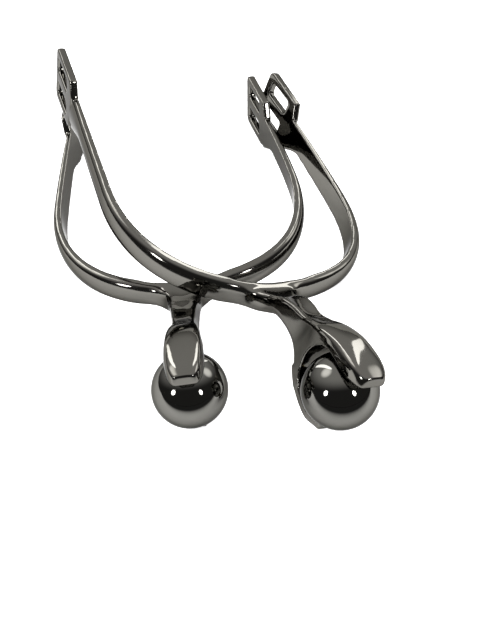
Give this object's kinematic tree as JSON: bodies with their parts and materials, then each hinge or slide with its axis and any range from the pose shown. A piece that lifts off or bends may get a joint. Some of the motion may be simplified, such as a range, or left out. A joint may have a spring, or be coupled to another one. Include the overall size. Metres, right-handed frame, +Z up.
{
  "type": "pair of roller ball riding spurs",
  "caption": "Polished dark metal riding spurs, one lying across the other, each a U-shaped heel band with slotted strap plates and a forked neck holding a roller ball.",
  "frame": {"origin": "on the surface that the pair lies on, under the middle of the pair's box", "axes": "+Z up, -Y to the roller balls behind the heels, +Y to the toes of the boots, +X to the right seen from behind the heels"},
  "size_m": [0.1066, 0.189, 0.0507],
  "materials": {
    "cast_steel": "mirror polished dark gunmetal plating over cast steel, with fine wipe marks",
    "ball_steel": "mirror polished dark gunmetal plating",
    "pin_steel": "ground steel",
    "bush_brass": "plain turned brass"
  },
  "bodies": {
    "under_spur": {"under_yoke": "cast_steel", "under_axle_pin": "pin_steel"},
    "under_ball": {"under_roller_ball": "ball_steel", "under_upper_bush": "bush_brass", "under_lower_bush": "bush_brass"},
    "upper_spur": {"upper_yoke": "cast_steel", "upper_axle_pin": "pin_steel"},
    "upper_ball": {"upper_roller_ball": "ball_steel", "upper_upper_bush": "bush_brass", "upper_lower_bush": "bush_brass"}
  },
  "joints": [
    {"name": "under_ball_spin", "type": "hinge", "parent": "under_spur", "child": "under_ball", "pos_m": [-0.00878, -0.07439, 0.01544], "axis": [-0.0173, -0.1331, 0.9909], "continuous": true},
    {"name": "upper_spur_lift", "type": "slide", "parent": "under_spur", "child": "upper_spur", "axis": [0.25, 0, 0.9682], "range_m": [0, 0.1]},
    {"name": "upper_ball_spin", "type": "hinge", "parent": "upper_spur", "child": "upper_ball", "pos_m": [0.03233, -0.08317, 0.01746], "axis": [0.3489, -0.1598, 0.9234], "continuous": true}
  ]
}
